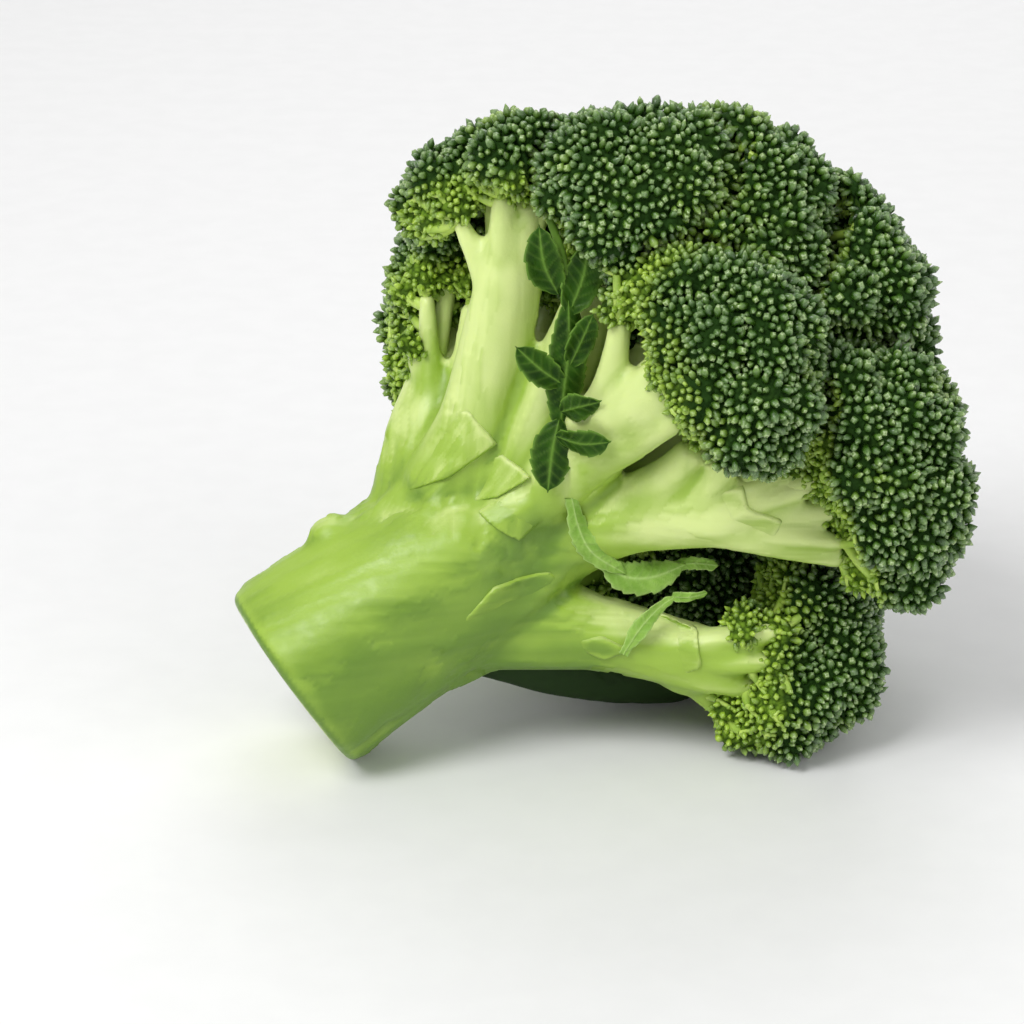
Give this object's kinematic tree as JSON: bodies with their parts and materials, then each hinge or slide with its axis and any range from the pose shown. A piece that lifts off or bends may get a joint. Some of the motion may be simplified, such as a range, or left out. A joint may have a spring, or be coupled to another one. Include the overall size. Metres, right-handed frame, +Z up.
{
  "type": "broccoli head",
  "caption": "Whole head of fresh broccoli on its side: a thick cut stalk branching into stems, each with a crown of tight green buds, and small leaves.",
  "frame": {"origin": "centre of the head's footprint on the ground, with the head lying at rest", "axes": "+Z up; +X from the cut end of the stalk towards the crowns; -Y is the side whose stems show between the crowns"},
  "size_m": [0.1566, 0.1326, 0.1438],
  "materials": {
    "stalk_flesh": "waxy, semi-gloss",
    "green_buds": "matte with a waxy bloom",
    "dark_leaf": "smooth, satin",
    "pale_leaf": "smooth, satin"
  },
  "bodies": {
    "root": {"bract_lower": "pale_leaf", "bract_upper": "pale_leaf", "crown_back_left": "green_buds", "crown_back_low": "green_buds", "crown_back_right": "green_buds", "crown_back_top": "green_buds", "crown_back_upper_left": "green_buds", "crown_centre_right": "green_buds", "crown_centre_top": "green_buds", "crown_far_right": "green_buds", "crown_front": "green_buds", "crown_left": "green_buds", "crown_lower": "green_buds", "crown_right": "green_buds", "crown_top": "green_buds", "crown_top_centre": "green_buds", "crown_under": "green_buds", "crown_upper_left": "green_buds", "crown_upper_right": "green_buds", "leaf_sprig": "dark_leaf", "main_stalk": "stalk_flesh", "stem_back_left": "stalk_flesh", "stem_back_low": "stalk_flesh", "stem_back_right": "stalk_flesh", "stem_back_top": "stalk_flesh", "stem_back_upper_left": "stalk_flesh", "stem_centre_right": "stalk_flesh", "stem_centre_top": "stalk_flesh", "stem_far_right": "stalk_flesh", "stem_front": "stalk_flesh", "stem_left": "stalk_flesh", "stem_lower": "stalk_flesh", "stem_right": "stalk_flesh", "stem_top": "stalk_flesh", "stem_top_centre": "stalk_flesh", "stem_under": "stalk_flesh", "stem_upper_left": "stalk_flesh", "stem_upper_right": "stalk_flesh"}
  },
  "joints": []
}
